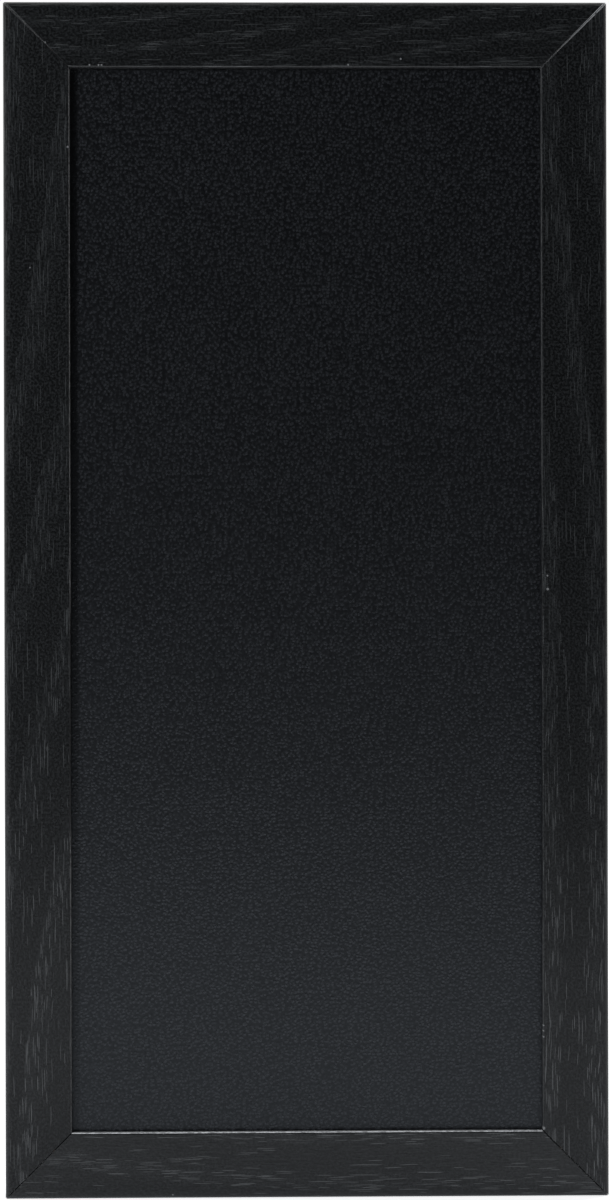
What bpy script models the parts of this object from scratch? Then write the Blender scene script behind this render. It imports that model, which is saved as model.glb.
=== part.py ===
"""Wall chalkboard: four mitred moulding rails round a chalk-coated panel, hung on saw-tooth hangers.

Metres, +Z up. The board faces -Y and the wall is the plane Y = 0. The origin is the point on the
wall below the middle notch of the upright hanger, where the nail carries the board.

Every rail is modelled in the frame of its own side: +X runs from the outer edge to the middle of
the board, +Y from the front face to the back, and +Z along the rail, with zero at mid-length.
"""

import math

import bmesh
import bpy
from mathutils import Vector

MM = 0.001

# The whole board, outside edge to outside edge
BOARD_WIDTH = 202 * MM
BOARD_HEIGHT = 400 * MM

# The moulding's cross-section
RAIL_FACE_WIDTH = 22.2 * MM
RAIL_DEPTH = 12 * MM
OUTER_ROUND_RADIUS = 2.6 * MM
OUTER_ROUND_STEPS = 8
SIGHT_CHAMFER = 0.5 * MM
BACK_CHAMFER = 0.6 * MM
LIP_THICKNESS = 3.5 * MM
REBATE_WIDTH = 7 * MM

# Gaps: at a mitre, between pieces that bear on each other, and round what is driven into the wood
MITRE_GAP = 0.3 * MM
SEAT_GAP = 0.3 * MM
PRESS_GAP = 0.1 * MM
CUT_OVERRUN = 2 * MM
WELD_DISTANCE = 0.001 * MM

# The hardboard panel with its chalk coat
PANEL_THICKNESS = 3 * MM
PANEL_EDGE_GAP = 0.8 * MM
PANEL_EDGE_BEVEL = 0.25 * MM

# V nails: bent steel strips driven into each mitre from behind, two to a corner
V_NAIL_INSET_SHARES = {"outer": 0.2, "inner": 0.5}
V_NAIL_LEG = 5 * MM
V_NAIL_CURL = 0.9 * MM
V_NAIL_THICKNESS = 0.5 * MM
V_NAIL_HEIGHT = 7 * MM
V_NAIL_SUNK = 0.3 * MM

# Glazier's tabs: flat steel points fired into the rebate wall to hold the panel in
TABS_ON_STILE = 4
TABS_ON_RAIL = 2
TAB_END_DISTANCE = 50 * MM
TAB_WIDTH = 8 * MM
TAB_THICKNESS = 0.5 * MM
TAB_BITE = 5 * MM
TAB_POINT_LENGTH = 3 * MM
TAB_REACH = 9.5 * MM
TAB_CORNER_RADIUS = 1.6 * MM
TAB_CORNER_STEPS = 4

# Saw-tooth hangers: a bridged strip of steel with notches on its lower edge
HANGER_LENGTH = 45 * MM
HANGER_HEIGHT = 9 * MM
HANGER_SHEET = 0.8 * MM
HANGER_WALL_GAP = 0.4 * MM
FOOT_LENGTH = 6.4 * MM
BRIDGE_RAMP = 1.6 * MM
BRIDGE_LIFT = 1.2 * MM
NOTCH_PITCH = 2.1 * MM
NOTCH_WIDTH_SHARE = 0.76
NOTCH_DEPTH = 1.3 * MM

# Pins that nail the hangers to the back
PIN_SHANK_RADIUS = 0.8 * MM
PIN_HOLE_GAP = 0.2 * MM
PIN_HEAD_RADIUS = 1.7 * MM
PIN_HEAD_THICKNESS = 0.6 * MM
PIN_HEAD_BEVEL = 0.15 * MM
PIN_LENGTH = 8.5 * MM
PIN_POINT_LENGTH = 1.6 * MM
PIN_SIDES = 16

# Rubber bumpers that keep the board level, and its hangers off the wall
BUMPER_RADIUS = 4.5 * MM
BUMPER_RIM_RADIUS = 0.6 * MM
BUMPER_RIM_STEPS = 3
BUMPER_SIDES = 32
BUMPER_END_DISTANCE = 30 * MM

# Sizes and places that follow from those above
BUMPER_THICKNESS = BRIDGE_LIFT + HANGER_SHEET + HANGER_WALL_GAP
WALL_STANDOFF = SEAT_GAP + BUMPER_THICKNESS
FRONT_Y = -(WALL_STANDOFF + RAIL_DEPTH)
BACK_FACE_WIDTH = RAIL_FACE_WIDTH - REBATE_WIDTH
BACK_FACE_MIDDLE = BACK_FACE_WIDTH / 2
HANGER_EDGE = BACK_FACE_MIDDLE + HANGER_HEIGHT / 2
NOTCH_INSET = HANGER_EDGE - NOTCH_DEPTH
BOARD_CENTRE = Vector((0, FRONT_Y, NOTCH_INSET - BOARD_HEIGHT / 2))
PANEL_FRONT = LIP_THICKNESS + SEAT_GAP
PANEL_BACK = PANEL_FRONT + PANEL_THICKNESS
TAB_MIDDLE = PANEL_BACK + SEAT_GAP + TAB_THICKNESS / 2
FOOT_MIDDLE = RAIL_DEPTH + SEAT_GAP + HANGER_SHEET / 2
PIN_HEAD_SEAT = RAIL_DEPTH + SEAT_GAP + HANGER_SHEET + PRESS_GAP
HALF_BRIDGE = HANGER_LENGTH / 2 - FOOT_LENGTH - BRIDGE_RAMP
NOTCHES_EACH_WAY = int(HALF_BRIDGE / NOTCH_PITCH) - 1

# Each side's turn about Y from the left stile's frame, its length, and how far out it lies
SIDES = {
    "left_stile": (0, BOARD_HEIGHT, BOARD_WIDTH / 2),
    "top_rail": (90, BOARD_WIDTH, BOARD_HEIGHT / 2),
    "right_stile": (180, BOARD_HEIGHT, BOARD_WIDTH / 2),
    "bottom_rail": (270, BOARD_WIDTH, BOARD_HEIGHT / 2),
}
# The corner at each side's +Z end, and the side that meets it there
CORNERS = {
    "left_stile": ("top_left", "top_rail"),
    "top_rail": ("top_right", "right_stile"),
    "right_stile": ("bottom_right", "bottom_rail"),
    "bottom_rail": ("bottom_left", "left_stile"),
}
HANGERS = {"top_rail": "upright", "left_stile": "sideways"}

# Colours and finishes: name, colour, roughness, metallic
FOIL = ("black_wood_foil", (0.010, 0.0105, 0.0115), 0.45, 0)
CHALK_COAT = ("chalk_coat", (0.009, 0.0095, 0.0105), 0.7, 0)
ZINC_STEEL = ("zinc_plated_steel", (0.55, 0.56, 0.57), 0.35, 1)
BLUE_STEEL = ("blued_steel", (0.11, 0.12, 0.14), 0.4, 1)
RUBBER = ("dark_rubber", (0.03, 0.03, 0.032), 0.8, 0)


def clear_scene():
    for thing in list(bpy.data.objects):
        bpy.data.objects.remove(thing, do_unlink=True)


def new_collection(name, parent):
    made = bpy.data.collections.new(name)
    parent.children.link(made)
    return made


def material(finish):
    name, colour, roughness, metallic = finish
    made = bpy.data.materials.get(name)
    if made is None:
        made = bpy.data.materials.new(name)
        made.use_nodes = True
        shader = made.node_tree.nodes["Principled BSDF"]
        shader.inputs["Base Color"].default_value = (*colour, 1)
        shader.inputs["Roughness"].default_value = roughness
        shader.inputs["Metallic"].default_value = metallic
    return made


def add_object(name, data, collection, parent, location=(0, 0, 0), rotation=(0, 0, 0)):
    """A new object at this place in its parent's frame, turned by these degrees."""
    made = bpy.data.objects.new(name, data)
    collection.objects.link(made)
    made.parent = parent
    made.location = location
    made.rotation_euler = [math.radians(angle) for angle in rotation]
    return made


def outline_mesh(name, outline, thickness):
    """A flat outline in the XY plane, given its thickness along Z, as a closed mesh."""
    curve = bpy.data.curves.new(name, "CURVE")
    curve.dimensions = "2D"
    curve.fill_mode = "BOTH"
    curve.extrude = thickness / 2
    spline = curve.splines.new("POLY")
    spline.points.add(len(outline) - 1)
    for point, place in zip(spline.points, outline):
        point.co = (place[0], place[1], 0, 1)
    spline.use_cyclic_u = True
    guide = bpy.data.objects.new(name, curve)
    bpy.context.scene.collection.objects.link(guide)
    graph = bpy.context.evaluated_depsgraph_get()
    mesh = bpy.data.meshes.new_from_object(guide.evaluated_get(graph))
    bpy.data.objects.remove(guide, do_unlink=True)
    weld(mesh)
    mesh.shade_flat()
    return mesh


def weld(mesh):
    shape = bmesh.new()
    shape.from_mesh(mesh)
    bmesh.ops.remove_doubles(shape, verts=shape.verts, dist=WELD_DISTANCE)
    bmesh.ops.recalc_face_normals(shape, faces=shape.faces)
    shape.to_mesh(mesh)
    shape.free()


def strip_outline(path, thickness):
    """The closed outline of a strip of this thickness that follows a path of flat points."""
    one_side, other_side = [], []
    for index, point in enumerate(path):
        steps = [path[i + 1] - path[i] for i in (index - 1, index) if 0 <= i < len(path) - 1]
        normals = [Vector((-step.y, step.x)).normalized() for step in steps]
        across = (normals[0] + normals[-1]).normalized()
        reach = thickness / 2 / across.dot(normals[0])
        one_side.append(point + across * reach)
        other_side.append(point - across * reach)
    return one_side + other_side[::-1]


def lengthened(path, extra):
    """The same path with both its ends carried on by this much."""
    start = path[0] + (path[0] - path[1]).normalized() * extra
    end = path[-1] + (path[-1] - path[-2]).normalized() * extra
    return [start, *path[1:-1], end]


def turned_object(name, profile, sides, collection, parent, location, rotation):
    """A round piece about its own Z, from a profile of radius and height run from top to bottom."""
    mesh = bpy.data.meshes.new(name)
    points = [(radius, 0, height) for radius, height in profile]
    mesh.from_pydata(points, [(i, i + 1) for i in range(len(points) - 1)], [])
    made = add_object(name, mesh, collection, parent, location, rotation)
    screw = made.modifiers.new("turn", "SCREW")
    screw.steps = screw.render_steps = sides
    screw.use_merge_vertices = True
    screw.merge_threshold = WELD_DISTANCE
    screw.use_smooth_shade = True
    return made


def box_object(name, size, collection, parent, location, rotation=(0, 0, 0)):
    mesh = bpy.data.meshes.new(name)
    shape = bmesh.new()
    bmesh.ops.create_cube(shape, size=1)
    bmesh.ops.scale(shape, vec=size, verts=shape.verts)
    shape.to_mesh(mesh)
    shape.free()
    return add_object(name, mesh, collection, parent, location, rotation)


def mark_cutter(cutter):
    cutter.hide_render = True
    cutter.display_type = "WIRE"
    return cutter


def cut(piece, name, cutters):
    """Takes everything in a collection of cutters out of the piece."""
    modifier = piece.modifiers.new(name, "BOOLEAN")
    modifier.operation = "DIFFERENCE"
    modifier.operand_type = "COLLECTION"
    modifier.collection = cutters


def rail_outline():
    """The moulding's cross-section: rounded outside, chamfered at the sight edge, rebated behind."""
    outline = []
    for step in range(OUTER_ROUND_STEPS + 1):
        angle = math.radians(90) * step / OUTER_ROUND_STEPS
        outline.append(
            (
                OUTER_ROUND_RADIUS * (1 - math.cos(angle)),
                OUTER_ROUND_RADIUS * (1 - math.sin(angle)),
            )
        )
    outline += [
        (RAIL_FACE_WIDTH - SIGHT_CHAMFER, 0),
        (RAIL_FACE_WIDTH, SIGHT_CHAMFER),
        (RAIL_FACE_WIDTH, LIP_THICKNESS),
        (BACK_FACE_WIDTH, LIP_THICKNESS),
        (BACK_FACE_WIDTH, RAIL_DEPTH),
        (BACK_CHAMFER, RAIL_DEPTH),
        (0, RAIL_DEPTH - BACK_CHAMFER),
    ]
    return outline


def add_rail(side, length, pieces, frame, mitres, sockets):
    """One length of moulding, mitred at both ends and cut for all that is driven into it."""
    mesh = outline_mesh(side, rail_outline(), length)
    rail = add_object(side, mesh, pieces, frame)
    rail.data.materials.append(material(FOIL))
    # A cube stood on its edge takes each end off, half a mitre gap short of the corner's diagonal
    saw = 2 * (RAIL_FACE_WIDTH + RAIL_DEPTH)
    shift = (saw - MITRE_GAP) / 2 * math.sqrt(0.5)
    for name, end in (("near", -1), ("far", 1)):
        along = end * ((length - RAIL_FACE_WIDTH) / 2 + shift)
        place = (RAIL_FACE_WIDTH / 2 + shift, RAIL_DEPTH / 2, along)
        cube = (saw, saw, saw)
        mark_cutter(box_object(f"saw_{side}_{name}", cube, mitres, frame, place, (0, 45, 0)))
    cut(rail, "mitres", mitres)
    cut(rail, "sockets", sockets)
    return rail


def v_nail_path(inset):
    """The strip's line in a corner's frame, whose zero is the board's outer corner, in X and Z."""
    bend = Vector((inset, -inset))
    straight = V_NAIL_LEG - V_NAIL_CURL
    return [
        bend + Vector((-V_NAIL_CURL, -V_NAIL_LEG)),
        bend + Vector((0, -straight)),
        bend,
        bend + Vector((straight, 0)),
        bend + Vector((V_NAIL_LEG, V_NAIL_CURL)),
    ]


def add_v_nails(side, length, pieces, frame, cutters, rail_sockets):
    """The two V nails of the corner at this side's +Z end, and the sockets that hold them."""
    corner, next_side = CORNERS[side]
    socket_height = V_NAIL_HEIGHT + V_NAIL_SUNK + SEAT_GAP + CUT_OVERRUN
    nail_place = (0, RAIL_DEPTH - V_NAIL_SUNK - V_NAIL_HEIGHT / 2, length / 2)
    socket_place = (0, RAIL_DEPTH + CUT_OVERRUN - socket_height / 2, length / 2)
    # The outlines' X and Y are laid along the side's X and Z, so they rise along the side's Y
    turn = (90, 0, 0)
    for name, share in V_NAIL_INSET_SHARES.items():
        path = v_nail_path(share * BACK_FACE_WIDTH)
        strip = strip_outline(path, V_NAIL_THICKNESS)
        nail_mesh = outline_mesh("v_nail", strip, V_NAIL_HEIGHT)
        nail_mesh.materials.append(material(BLUE_STEEL))
        add_object(f"v_nail_{corner}_{name}", nail_mesh, pieces, frame, nail_place, turn)
        room = strip_outline(lengthened(path, PRESS_GAP), V_NAIL_THICKNESS + 2 * PRESS_GAP)
        socket_mesh = outline_mesh("v_nail_socket", room, socket_height)
        socket_name = f"v_nail_socket_{corner}_{name}"
        socket = add_object(socket_name, socket_mesh, cutters, frame, socket_place, turn)
        mark_cutter(socket)
        rail_sockets[side].objects.link(socket)
        rail_sockets[next_side].objects.link(socket)


def tab_outline():
    """Pointed where it bites the wood, rounded where it lies on the panel. X is zero at the wall."""
    half = TAB_WIDTH / 2
    outline = [Vector((-TAB_BITE, 0)), Vector((-TAB_BITE + TAB_POINT_LENGTH, -half))]
    for corner in (-1, 1):
        centre = Vector((TAB_REACH - TAB_CORNER_RADIUS, corner * (half - TAB_CORNER_RADIUS)))
        for step in range(TAB_CORNER_STEPS + 1):
            angle = math.radians(90) * (step / TAB_CORNER_STEPS + (corner - 1) / 2)
            around = Vector((math.cos(angle), math.sin(angle)))
            outline.append(centre + around * TAB_CORNER_RADIUS)
    outline.append(Vector((-TAB_BITE + TAB_POINT_LENGTH, half)))
    return outline


def evenly(count, span):
    """Places along Z, spread evenly over the span about zero."""
    return [span * (index / (count - 1) - 0.5) for index in range(count)]


def add_tabs(side, length, count, pieces, frame, sockets):
    mesh = outline_mesh("panel_tab", tab_outline(), TAB_THICKNESS)
    mesh.materials.append(material(ZINC_STEEL))
    slot_size = (
        TAB_BITE + PRESS_GAP + CUT_OVERRUN,
        TAB_THICKNESS + 2 * PRESS_GAP,
        TAB_WIDTH + 2 * PRESS_GAP,
    )
    slot_x = BACK_FACE_WIDTH + CUT_OVERRUN - slot_size[0] / 2
    for number, along in enumerate(evenly(count, length - 2 * TAB_END_DISTANCE), start=1):
        # The outline's Y is turned to run along the rail
        place = (BACK_FACE_WIDTH, TAB_MIDDLE, along)
        add_object(f"panel_tab_{side}_{number}", mesh, pieces, frame, place, (90, 0, 0))
        slot_place = (slot_x, TAB_MIDDLE, along)
        slot = box_object(f"tab_slot_{side}_{number}", slot_size, sockets, frame, slot_place)
        mark_cutter(slot)


def hanger_path():
    """The bent strip's line: feet flat on the wood, and a bridge between them that stands clear."""
    one_half = [
        Vector((HALF_BRIDGE, FOOT_MIDDLE + BRIDGE_LIFT)),
        Vector((HALF_BRIDGE + BRIDGE_RAMP, FOOT_MIDDLE)),
        Vector((HANGER_LENGTH / 2, FOOT_MIDDLE)),
    ]
    return [Vector((-point.x, point.y)) for point in one_half[::-1]] + one_half


def notch_outline():
    """The cutter for the saw teeth: V notches that open through the edge at X = 0."""
    mouth = NOTCH_PITCH * NOTCH_WIDTH_SHARE / 2 * (1 + PRESS_GAP / NOTCH_DEPTH)
    half_span = (NOTCHES_EACH_WAY + 0.5) * NOTCH_PITCH
    outline = [Vector((CUT_OVERRUN, -half_span))]
    for number in range(-NOTCHES_EACH_WAY, NOTCHES_EACH_WAY + 1):
        middle = number * NOTCH_PITCH
        outline += [
            Vector((PRESS_GAP, middle - mouth)),
            Vector((-NOTCH_DEPTH, middle)),
            Vector((PRESS_GAP, middle + mouth)),
        ]
    outline.append(Vector((CUT_OVERRUN, half_span)))
    return outline


def pin_profile():
    """Radius and height of a flat-headed pin, with zero at the underside of its head."""
    return [
        (0, PIN_HEAD_THICKNESS),
        (PIN_HEAD_RADIUS - PIN_HEAD_BEVEL, PIN_HEAD_THICKNESS),
        (PIN_HEAD_RADIUS, PIN_HEAD_THICKNESS - PIN_HEAD_BEVEL),
        (PIN_HEAD_RADIUS, 0),
        (PIN_SHANK_RADIUS, 0),
        (PIN_SHANK_RADIUS, -PIN_LENGTH + PIN_POINT_LENGTH),
        (0, -PIN_LENGTH),
    ]


def pin_hole_profile():
    radius = PIN_SHANK_RADIUS + PIN_HOLE_GAP
    depth = PIN_LENGTH + SEAT_GAP
    return [(0, CUT_OVERRUN), (radius, CUT_OVERRUN), (radius, -depth), (0, -depth)]


def add_hanger(side, way_up, pieces, frame, cutters, sockets):
    """A saw-tooth hanger with its two pins, notches towards the middle of the board."""
    name = f"hanger_{way_up}"
    mesh = outline_mesh(name, strip_outline(hanger_path(), HANGER_SHEET), HANGER_HEIGHT)
    mesh.materials.append(material(ZINC_STEEL))
    # The strip's X runs along the rail, and its width along the side's X
    hanger = add_object(name, mesh, pieces, frame, (BACK_FACE_MIDDLE, 0, 0), (0, -90, 0))
    hanger_cutters = new_collection(f"{name}_cutters", cutters)
    notches = outline_mesh(f"{name}_notches", notch_outline(), 2 * WALL_STANDOFF)
    edge = (HANGER_EDGE, RAIL_DEPTH + WALL_STANDOFF / 2, 0)
    mark_cutter(add_object(f"{name}_notches", notches, hanger_cutters, frame, edge, (90, 0, 0)))
    for number, end in enumerate((-1, 1), start=1):
        # A turned piece's Z is laid along the side's Y, which puts its head at the back
        place = (BACK_FACE_MIDDLE, PIN_HEAD_SEAT, end * (HANGER_LENGTH - FOOT_LENGTH) / 2)
        pin_name = f"{name}_pin_{number}"
        pin = turned_object(pin_name, pin_profile(), PIN_SIDES, pieces, frame, place, (-90, 0, 0))
        pin.data.materials.append(material(ZINC_STEEL))
        hole = turned_object(
            f"{pin_name}_hole",
            pin_hole_profile(),
            PIN_SIDES,
            hanger_cutters,
            frame,
            place,
            (-90, 0, 0),
        )
        mark_cutter(hole)
        sockets.objects.link(hole)
    cut(hanger, "notches_and_holes", hanger_cutters)


def bumper_profile():
    profile = [(0, BUMPER_THICKNESS)]
    for step in range(BUMPER_RIM_STEPS + 1):
        angle = math.radians(90) * step / BUMPER_RIM_STEPS
        profile.append(
            (
                BUMPER_RADIUS - BUMPER_RIM_RADIUS * (1 - math.sin(angle)),
                BUMPER_THICKNESS - BUMPER_RIM_RADIUS * (1 - math.cos(angle)),
            )
        )
    return profile + [(BUMPER_RADIUS, 0), (0, 0)]


def add_bumpers(side, length, pieces, frame):
    hand = side.split("_")[0]
    for end in (1, -1):
        height = "upper" if (end > 0) == (hand == "left") else "lower"
        name = f"bumper_{height}_{hand}"
        along = end * (length / 2 - BUMPER_END_DISTANCE)
        place = (BACK_FACE_MIDDLE, RAIL_DEPTH + SEAT_GAP, along)
        bumper = turned_object(
            name, bumper_profile(), BUMPER_SIDES, pieces, frame, place, (-90, 0, 0)
        )
        bumper.data.materials.append(material(RUBBER))


def add_panel(pieces, centre):
    """The hardboard, held between the lip and the tabs, with a little room at its edges."""
    overlap = REBATE_WIDTH - PANEL_EDGE_GAP
    size = (
        BOARD_WIDTH - 2 * (RAIL_FACE_WIDTH - overlap),
        PANEL_THICKNESS,
        BOARD_HEIGHT - 2 * (RAIL_FACE_WIDTH - overlap),
    )
    place = (0, PANEL_FRONT + PANEL_THICKNESS / 2, 0)
    panel = box_object("chalk_panel", size, pieces, centre, place)
    panel.data.materials.append(material(CHALK_COAT))
    bevel = panel.modifiers.new("eased_edges", "BEVEL")
    bevel.width = PANEL_EDGE_BEVEL
    bevel.segments = 1
    return panel


def build():
    clear_scene()
    scene = bpy.context.scene.collection
    pieces = new_collection("wall_chalkboard", scene)
    cutters = new_collection("cutters", scene)
    centre = add_object("board_centre", None, pieces, None, BOARD_CENTRE)
    frames, mitres, sockets = {}, {}, {}
    for side, (turn, _, reach) in SIDES.items():
        angle = math.radians(turn)
        outer_edge = (-reach * math.cos(angle), 0, reach * math.sin(angle))
        frames[side] = add_object(f"{side}_frame", None, pieces, centre, outer_edge, (0, turn, 0))
        mitres[side] = new_collection(f"{side}_mitres", cutters)
        sockets[side] = new_collection(f"{side}_sockets", cutters)
    for side, (_, length, _) in SIDES.items():
        add_rail(side, length, pieces, frames[side], mitres[side], sockets[side])
        add_v_nails(side, length, pieces, frames[side], cutters, sockets)
        on_stile = side.endswith("stile")
        tabs = TABS_ON_STILE if on_stile else TABS_ON_RAIL
        add_tabs(side, length, tabs, pieces, frames[side], sockets[side])
        if on_stile:
            add_bumpers(side, length, pieces, frames[side])
    for side, way_up in HANGERS.items():
        add_hanger(side, way_up, pieces, frames[side], cutters, sockets[side])
    add_panel(pieces, centre)


build()
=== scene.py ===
import math

import bmesh
import bpy
from mathutils import Matrix, Vector


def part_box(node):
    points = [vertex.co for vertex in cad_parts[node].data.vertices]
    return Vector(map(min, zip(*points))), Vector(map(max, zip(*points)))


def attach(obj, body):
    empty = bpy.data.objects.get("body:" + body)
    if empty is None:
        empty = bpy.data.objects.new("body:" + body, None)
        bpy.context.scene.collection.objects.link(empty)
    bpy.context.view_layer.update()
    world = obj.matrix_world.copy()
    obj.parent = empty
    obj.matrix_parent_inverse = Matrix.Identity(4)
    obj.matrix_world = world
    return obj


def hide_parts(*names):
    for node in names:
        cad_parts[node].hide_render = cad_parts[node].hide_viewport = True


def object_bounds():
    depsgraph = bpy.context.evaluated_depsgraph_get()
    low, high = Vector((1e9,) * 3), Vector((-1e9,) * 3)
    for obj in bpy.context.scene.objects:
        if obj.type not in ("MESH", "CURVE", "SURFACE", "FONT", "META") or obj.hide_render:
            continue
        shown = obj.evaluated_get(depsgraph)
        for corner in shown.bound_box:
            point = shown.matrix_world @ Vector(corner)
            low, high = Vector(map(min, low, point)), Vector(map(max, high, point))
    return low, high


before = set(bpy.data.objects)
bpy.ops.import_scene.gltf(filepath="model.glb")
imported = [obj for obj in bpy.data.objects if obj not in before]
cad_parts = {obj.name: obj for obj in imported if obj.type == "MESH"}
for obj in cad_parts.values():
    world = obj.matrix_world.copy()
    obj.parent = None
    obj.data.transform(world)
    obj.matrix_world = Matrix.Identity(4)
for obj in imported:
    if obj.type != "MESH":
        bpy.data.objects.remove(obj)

cad_low, cad_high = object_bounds()


# The moulding. Four lengths of foil-wrapped fibreboard, mitred at the corners: the front edge is
# rounded outside, the sight edge is eased, and a rebate behind takes the panel. One profile is
# swept to each side's length, and its ends are sheared to the mitre.
MM = 0.001


class Value:
    """One output in a node tree, which sums take as they take a number."""

    def __init__(self, nodes, socket):
        self.nodes = nodes
        self.socket = socket

    def math(self, operation, *values):
        return self.nodes.add("ShaderNodeMath", {"operation": operation}, dict(enumerate(values)))

    def other(self, output):
        """Another output of the node that this one comes from."""
        return Value(self.nodes, self.socket.node.outputs[output])

    def __add__(self, other):
        return self.math("ADD", self, other)

    def __sub__(self, other):
        return self.math("SUBTRACT", self, other)

    def __rsub__(self, other):
        return self.math("SUBTRACT", other, self)

    def __mul__(self, other):
        return self.math("MULTIPLY", self, other)

    def __truediv__(self, other):
        return self.math("DIVIDE", self, other)

    def __neg__(self):
        return self.math("MULTIPLY", self, -1)

    __radd__ = __add__
    __rmul__ = __mul__

    def between(self, low, high):
        """Zero below low, one above high, and a smooth step from one to the other."""
        edges = {"Value": self, "From Min": low, "From Max": high}
        return self.nodes.add("ShaderNodeMapRange", {"interpolation_type": "SMOOTHSTEP"}, edges)


class Nodes:
    """A node tree, and the one way that nodes are added to it."""

    def __init__(self, tree):
        self.tree = tree

    def add(self, kind, settings=None, inputs=None, output=0):
        node = self.tree.nodes.new(kind)
        for name, setting in (settings or {}).items():
            setattr(node, name, setting)
        for name, value in (inputs or {}).items():
            if isinstance(value, Value):
                self.tree.links.new(value.socket, node.inputs[name])
            else:
                node.inputs[name].default_value = value
        return Value(self, node.outputs[output])

    def vector(self, x, y, z):
        return self.add("ShaderNodeCombineXYZ", {}, {0: x, 1: y, 2: z})

    def axes(self, vector):
        node = self.tree.nodes.new("ShaderNodeSeparateXYZ")
        self.tree.links.new(vector.socket, node.inputs[0])
        return [Value(self, output) for output in node.outputs]

    def noise(self, place, scale=1, detail=0, roughness=0.5):
        inputs = {"Vector": place, "Scale": scale, "Detail": detail, "Roughness": roughness}
        return self.add("ShaderNodeTexNoise", {"noise_dimensions": "3D"}, inputs)

    def cells(self, x, y):
        """How far off the nearest of the points is, one to a unit cell, and its three chances."""
        settings = {"voronoi_dimensions": "2D", "distance": "MINKOWSKI"}
        inputs = {"Vector": self.vector(x, y, 0), "Scale": 1, "Exponent": 3}
        near = self.add("ShaderNodeTexVoronoi", settings, inputs)
        return near, self.axes(near.other("Color"))

    def mix(self, share, first, second):
        colours = {0: share, 6: first, 7: second}
        return self.add("ShaderNodeMix", {"data_type": "RGBA"}, colours, output=2)


class Finish:
    """A material whose surface is one Principled shader, fed by its own nodes."""

    def __init__(self, name, **fixed):
        self.material = bpy.data.materials.new(name)
        self.material.use_nodes = True
        self.nodes = Nodes(self.material.node_tree)
        self.shader = self.material.node_tree.nodes["Principled BSDF"]
        for socket, value in fixed.items():
            self.shader.inputs[socket.replace("_", " ")].default_value = value

    def feed(self, socket, value):
        self.nodes.tree.links.new(value.socket, self.shader.inputs[socket])

    def place(self, location=(0, 0, 0), rotation=(0, 0, 0)):
        """The place on the piece, in millimetres, turned and moved to the piece's own axes."""
        here = self.nodes.add("ShaderNodeTexCoord", output="Object")
        moved = {"Vector": here, "Location": location, "Rotation": rotation, "Scale": [1 / MM] * 3}
        return self.nodes.add("ShaderNodeMapping", {}, moved)

    def bump(self, height, depth_mm):
        """Raises the surface by height, one unit of which stands for depth_mm."""
        inputs = {"Height": height, "Distance": depth_mm * MM, "Strength": 1.0}
        self.feed("Normal", self.nodes.add("ShaderNodeBump", {}, inputs))


def plain_mesh(thing):
    """The object's evaluated shape as a mesh of its own, with no modifier left on the object."""
    graph = bpy.context.evaluated_depsgraph_get()
    mesh = bpy.data.meshes.new_from_object(thing.evaluated_get(graph))
    thing.modifiers.clear()
    thing.data = mesh
    return thing


SHARP_ANGLE = math.radians(35)


def shade(thing):
    """Shades rounds as round and flats as flat: at each corner the largest face has its way."""
    thing.data.shade_smooth()
    thing.data.set_sharp_from_angle(angle=SHARP_ANGLE)
    flats = thing.modifiers.new("flats", "WEIGHTED_NORMAL")
    flats.keep_sharp = True
    flats.weight = 100
    return plain_mesh(thing)


def new_object(name, mesh):
    thing = bpy.data.objects.new(name, mesh)
    bpy.context.scene.collection.objects.link(thing)
    return thing


def run_tree(thing, tree, **values):
    """Adds a node tree as a modifier, with its inputs given by their names."""
    modifier = thing.modifiers.new(tree.name, "NODES")
    modifier.node_group = tree
    for item in tree.interface.items_tree:
        key = item.name.replace(" ", "_").lower()
        if item.in_out == "INPUT" and key in values:
            modifier[item.identifier] = values[key]


def new_tree(name, **inputs):
    """A node tree that takes and gives a mesh, with named inputs of the given kinds."""
    tree = bpy.data.node_groups.new(name, "GeometryNodeTree")
    tree.interface.new_socket("Mesh", in_out="INPUT", socket_type="NodeSocketGeometry")
    for key, kind in inputs.items():
        title = key.replace("_", " ").title()
        tree.interface.new_socket(title, in_out="INPUT", socket_type=f"NodeSocket{kind}")
    tree.interface.new_socket("Mesh", in_out="OUTPUT", socket_type="NodeSocketGeometry")
    nodes = Nodes(tree)
    group = tree.nodes.new("NodeGroupInput")
    return nodes, [Value(nodes, socket) for socket in group.outputs[:-1]]


def finish_tree(nodes, mesh, material):
    """Ends a tree with real geometry in one material."""
    real = nodes.add("GeometryNodeRealizeInstances", {}, {"Geometry": mesh})
    dressed = nodes.add("GeometryNodeSetMaterial", {}, {"Geometry": real, "Material": material})
    group = nodes.tree.nodes.new("NodeGroupOutput")
    nodes.tree.links.new(dressed.socket, group.inputs[0])


def arc(centre, radius, start, end, steps):
    """Points round a centre, from one angle to another in degrees."""
    points = []
    for step in range(steps + 1):
        angle = math.radians(start + (end - start) * step / steps)
        points.append(Vector(centre) + radius * Vector((math.cos(angle), math.sin(angle))))
    return points


def loop_mesh(name, points):
    """A closed outline in the XY plane."""
    mesh = bpy.data.meshes.new(name)
    edges = [(i, (i + 1) % len(points)) for i in range(len(points))]
    mesh.from_pydata([(*point, 0) for point in points], edges, [])
    return mesh


top_low, top_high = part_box("top_rail")
panel_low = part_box("chalk_panel")[0]
board_width = cad_high.x - cad_low.x
board_height = cad_high.z - cad_low.z
front_y = top_low.y
rail_depth = top_high.y - top_low.y
face_width = top_high.z - top_low.z
board_middle = Vector((0, front_y, (cad_low.z + cad_high.z) / 2))

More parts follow.
